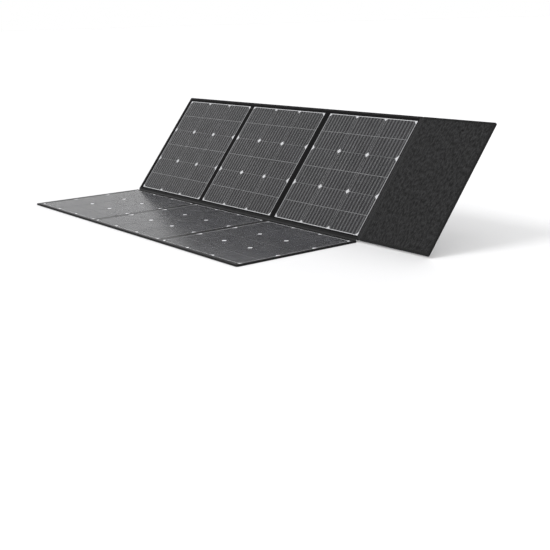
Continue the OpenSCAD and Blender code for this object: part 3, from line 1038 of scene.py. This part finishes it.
def leg_hinge(i):
    """Cloth sewn to the row and to the top of a leg, rounded over the fold."""
    plane = leg_plane(i)
    rear = Plane(plane.origin, UP, -OUT)

    def on_leg(a, b):
        p = plane.at(0, a, b) - rear.origin
        return p.dot(UP), p.dot(-OUT)

    corners = [
        (LEG_LAP + 8 * MM, 0.2 * MM), (12 * MM, 0.2 * MM),
        on_leg(LEG_TOP - 3 * MM, LEG_OUT + 0.2 * MM), on_leg(LEG_LAP, LEG_OUT + 0.2 * MM),
    ]
    line = smooth_line(corners, 9 * MM)
    xs = (-LEG_W / 2 - 0.5 * MM, LEG_W / 2 + 0.5 * MM)
    strip = strap(f"leg_hinge_cloth_{i}", rear, line, xs, 0.9 * MM, 3 * MM, 0.3 * MM)
    start, end = rear.at(0, 12 * MM, 0), plane.at(0, LEG_TOP, LEG_OUT)
    add_blend(
        strip, "upper_row", f"leg_{i}", start, end, "cover_fabric", LEG_CLOTH, f"leg_hinge_strip_{i}"
    )
    ends = (xs[0] + 3 * MM, xs[1] - 3 * MM)
    for k, s in enumerate((LEG_LAP + 5 * MM, LEG_LAP - 2 * MM)):
        places = [(rear.at(x, s, 0.7 * MM), -OUT) for x in ends]
        add(stitches(f"leg_{i}_seam_{k + 1}", places), "upper_row", "webbing", THREAD)
    places = [(plane.at(x, LEG_LAP - 4 * MM, LEG_OUT + 0.7 * MM), plane.n_axis) for x in ends]
    add(stitches(f"leg_{i}_seam_3", places), f"leg_{i}", "webbing", THREAD)


def stay(i):
    """A stay in two lengths that meet halfway: each lies down on its own side when the leg folds."""
    plane = leg_plane(i)
    rear = Plane(plane.origin, UP, -OUT)
    low = STAY_S - (plane.origin - ROW.at(0, 0, -THICK)).dot(UP)

    def on_leg(a, b):
        p = plane.at(0, a, b) - rear.origin
        return Vector((p.dot(UP), p.dot(-OUT)))

    half = STAY_T / 2
    at_row = [Vector((low - STAY_SEWN, half)), Vector((low, half))]
    at_leg = [on_leg(STAY_DROP, LEG_GAP - half), on_leg(STAY_DROP - STAY_SEWN, LEG_GAP - half)]
    middle = (at_row[1] + at_leg[0]) / 2
    xs = (-STAY_W / 2, STAY_W / 2)
    lower = strap(f"stay_{i}_row_end", rear, smooth_line([*at_row, middle], 45 * MM, 10), xs, STAY_T)
    upper = strap(f"stay_{i}_leg_end", rear, smooth_line([middle, *at_leg], 30 * MM, 10), xs, STAY_T)
    add(lower, "upper_row", "webbing", WEBBING, f"stay_{i}")
    rear.at(0, 0, 0.3 * MM)
    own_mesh(lower)
    add(upper, f"leg_{i}", "webbing", WEBBING)
    anchor = plane.at(0, 0, LEG_GAP - 1.4 * MM)
    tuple(plane.n_axis)
    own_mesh(upper)


def stay_patch(i):
    """Patch sewn over a stay's lower end."""
    rear = Plane(leg_plane(i).origin, UP, -OUT)
    low = STAY_S - (rear.origin - ROW.at(0, 0, -THICK)).dot(UP)
    xs = (-STAY_W / 2 - 4 * MM, STAY_W / 2 + 4 * MM)
    ss = (low - STAY_SEWN - 1 * MM, low - STAY_SEWN + 29 * MM)
    patch = pad(f"stay_patch_{i}", rear, xs, ss, (0.1 * MM, 2.4 * MM), 0.6 * MM, 6 * MM, 2 * MM)
    add(patch, "upper_row", "webbing", WEBBING, "stay_patches")
    path = corner_path(rectangle(xs, ss), 2 * MM, True)
    line = seam(f"stay_patch_{i}_stitches", rear, path + path[:1], 2.5 * MM, 2.3 * MM)
    add(line, "upper_row", "webbing", THREAD)


# ---------------------------------------------------------------- pocket
# From the row outwards: walls up to BODY_H, the zip of height ZIP_H, and the lid up to POCKET_D.

POCKET = [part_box("pocket_lid")[k] for k in (0, 1)]
POCKET_XS = (POCKET[0].x - LEFT, POCKET[1].x - LEFT)
POCKET_SS = (135 * MM, 478 * MM)
POCKET_R = 28 * MM
BODY_H = 17 * MM
ZIP_H = 3 * MM
LID_H = 4.8 * MM
POCKET_D = 25 * MM
WALL = 2.5 * MM


def pocket():
    """Flat pocket on the rear face: walls, floor, piping, zip and lid."""
    loop = corner_path(rectangle(POCKET_XS, POCKET_SS), POCKET_R, True, 30 * MM, 8)
    top = BODY_H
    wall_section = [
        (-WALL, 1 * MM), (-WALL, top - 1.5 * MM), (-WALL * 0.8, top - 0.3 * MM), (-WALL * 0.4, top),
        (0.0, top - 0.6 * MM), (0.35 * MM, top - 3 * MM), (0.5 * MM, top / 2), (0.35 * MM, 3 * MM),
        (0.2 * MM, 0.2 * MM), (-1.0 * MM, 0.1 * MM),
    ]
    walls = sweep("pocket_walls", REAR, loop, wall_section, True)
    inside_x = (POCKET_XS[0] + 1 * MM, POCKET_XS[1] - 1 * MM)
    inside_s = (POCKET_SS[0] + 1 * MM, POCKET_SS[1] - 1 * MM)
    floor = pad(
        "pocket_floor", REAR, inside_x, inside_s, (0.1 * MM, 1.2 * MM), 0.3 * MM, 20 * MM, POCKET_R - 1 * MM
    )
    # The walls and floor take the wall cloth, painted lighter as painted light on the top wall.
    add(join("pocket_shell", walls, floor), "upper_row", "pocket_fabric", PAINTED_LIT_WALL_CLOTH, "pocket_body")
    for k, n in enumerate((1.3 * MM, BODY_H - 1.3 * MM)):
        piping = sweep(f"pocket_piping_{k + 1}", REAR, loop, ring_section(0.7 * MM, n, 1.3 * MM), True)
        add(piping, "upper_row", "pocket_fabric", PIPING)
    add(zip_band(loop), "upper_row", "zip_tape", ZIP_TAPE, "pocket_zip")
    lid()


def zip_band(loop):
    """Zip tape with a row of small teeth."""
    low, high = BODY_H + 0.1 * MM, BODY_H + ZIP_H
    middle = (low + high) / 2
    tape = sweep(
        "zip_band", REAR, loop,
        [(-2.2 * MM, low), (-0.9 * MM, low), (-0.7 * MM, middle), (-0.9 * MM, high), (-2.2 * MM, high)], True,
    )
    teeth = seam(
        "zip_teeth", REAR, loop + loop[:1], 0.6 * MM, middle - 0.4 * MM,
        thread=0.8 * MM, length=1.5 * MM, pitch=2.6 * MM,
    )
    return join("zip_band", tape, teeth)


def lid():
    """Moulded lid with a flat crown, a rolled edge and a hollow. Its piping stops short of the hinge side."""
    base = POCKET_D - LID_H
    near = [0.3 * MM, 1 * MM, WALL, WALL + 0.6 * MM, 6 * MM, 0.45 * POCKET_R, 0.7 * POCKET_R, POCKET_R]
    us = grid_lines(*POCKET_XS, near, 12 * MM)
    vs = grid_lines(*POCKET_SS, near, 12 * MM)
    soft = wrinkle(0.3 * MM, 0.05, 7.7)

    def front(x, s):
        x, s, d = rounded_in(x, s, POCKET_XS, POCKET_SS, POCKET_R)
        crown = 1.2 * MM * (1 - math.exp(-d / (22 * MM)))
        return REAR.at(x, s, POCKET_D - 1.0 * MM - edge_drop(d, 2.2 * MM) + crown + soft(x, s, d))

    def rear(x, s):
        x, s, d = rounded_in(x, s, POCKET_XS, POCKET_SS, POCKET_R)
        inner = POCKET_D - 2.2 * MM
        share = min(1.0, max(0.0, (d - WALL) / (0.6 * MM)))
        return REAR.at(x, s, base + (inner - base) * share)

    add(shell("lid_cloth", us, vs, front, rear), "lid", "pocket_fabric", POCKET_CLOTH, "pocket_lid")
    low, high, *far = rectangle(POCKET_XS, POCKET_SS)
    start = Vector((POCKET_R, 0))
    rim = corner_path([Vector(high) + start, *far, Vector(low) + start], POCKET_R, False, 30 * MM, 8)
    for k, n in enumerate((base + 1.2 * MM, POCKET_D - 1.6 * MM)):
        piping = sweep(f"lid_piping_{k + 1}", REAR, rim, ring_section(0.5 * MM, n, 1.15 * MM))
        add(piping, "lid", "pocket_fabric", PIPING)


def zip_slider():
    """Slider with a rounded body and a flat pull tab."""
    x0 = POCKET_XS[1] + 0.6 * MM
    s0 = POCKET_SS[0] + POCKET_R + 6 * MM
    n0 = BODY_H - 2 * MM
    body = pad(
        "slider_body", REAR, (x0, x0 + 3.4 * MM), (s0, s0 + 12 * MM), (n0, n0 + 7 * MM),
        0.8 * MM, 1.5 * MM, 1.2 * MM,
    )
    tab = pad(
        "slider_tab", REAR, (x0 + 0.9 * MM, x0 + 2.6 * MM), (s0 + 10 * MM, s0 + 36 * MM),
        (n0 + 1.8 * MM, n0 + 5.2 * MM), 0.5 * MM, 2 * MM, 0.7 * MM,
    )
    add(join("zip_pull", body, tab), "slider", "zip_metal", DARK_METAL, "zip_slider")


# ---------------------------------------------------------------- handle
# The arch runs along x between the end caps. Shares of its half length: the grip's end and the strap's end.

HANDLE_X = 1814 * MM
HANDLE_L = 112 * MM
HANDLE_W = 38 * MM
HANDLE_RISE = 18 * MM
GRIP_END = 0.6
TAIL_END = 0.98
HALF_ARCH = HANDLE_L / 2 - 6.2 * MM


def arch_line(start, end, lift):
    """Points (x from the middle, n) along the handle's arch."""
    count = 14
    line = []
    for k in range(count + 1):
        u = start + (end - start) * k / count
        line.append((u * HALF_ARCH, HANDLE_RISE * (1 - u * u) + lift))
    return line


def arch_strap(name, start, end, lift, w, t, bulge=0.0):
    """A strap along the arch, with its width up the slope."""
    line = resample(arch_line(start, end, lift), 2.5 * MM)
    last = len(line) - 1
    columns = grid_lines(-w / 2, w / 2, [0.3 * t, 0.7 * t, t], 5 * MM)
    centre = HANDLE_X + HANDLE_L / 2
    middle = BAY / 2

    def point(side):
        def place(i, c):
            along = (line[min(i + 1, last)] - line[max(i - 1, 0)]).normalized()
            normal = Vector((-along.y, along.x))
            d = min(c + w / 2, w / 2 - c)
            edge = math.sqrt(max(0.0, 1 - (1 - min(1.0, d / t)) ** 2))
            ends = min(1.0, 0.3 + min(i, last - i) * 0.35)
            half = t / 2 * (0.3 + 0.7 * edge) * (ends if bulge else 1)
            rib = bulge * abs(math.sin(i * 1.6)) if side > 0 else 0
            p = line[i] + normal * (side * half + rib * edge)
            return REAR.at(centre + p.x, middle + c, p.y)
        return place

    return shell(name, range(last + 1), columns, point(1), point(-1))


def handle():
    """Rubber grip on an arch, and a strap from each of its ends down to the flap."""
    grip = arch_strap("carry_grip", -GRIP_END, GRIP_END, 2.5 * MM, HANDLE_W, 5 * MM, 0.5 * MM)
    add(grip, "grip", "grip_rubber", RUBBER, "handle_grip")
    for side, tag in ((-1, "left"), (1, "right")):
        ends = sorted((side * GRIP_END * 0.97, side * TAIL_END))
        tail = arch_strap(f"handle_tail_{tag}", *ends, 1 * MM, HANDLE_W - 6 * MM, 2 * MM)
        centre = HANDLE_X + HANDLE_L / 2
        start = REAR.at(centre + side * TAIL_END * HALF_ARCH, BAY / 2, 0)
        end = REAR.at(centre + side * GRIP_END * HALF_ARCH, BAY / 2, 0)
        add_blend(
            tail, "flap", "grip", start, end, "webbing", WEBBING, *(["handle_tails"] if side < 0 else [])
        )


rows()
row_hinge()
flap()
for number in (1, 2, 3):
    leg(number)
    leg_hinge(number)
    stay(number)
    stay_patch(number)
pocket()
zip_slider()
handle()
paint_cad()
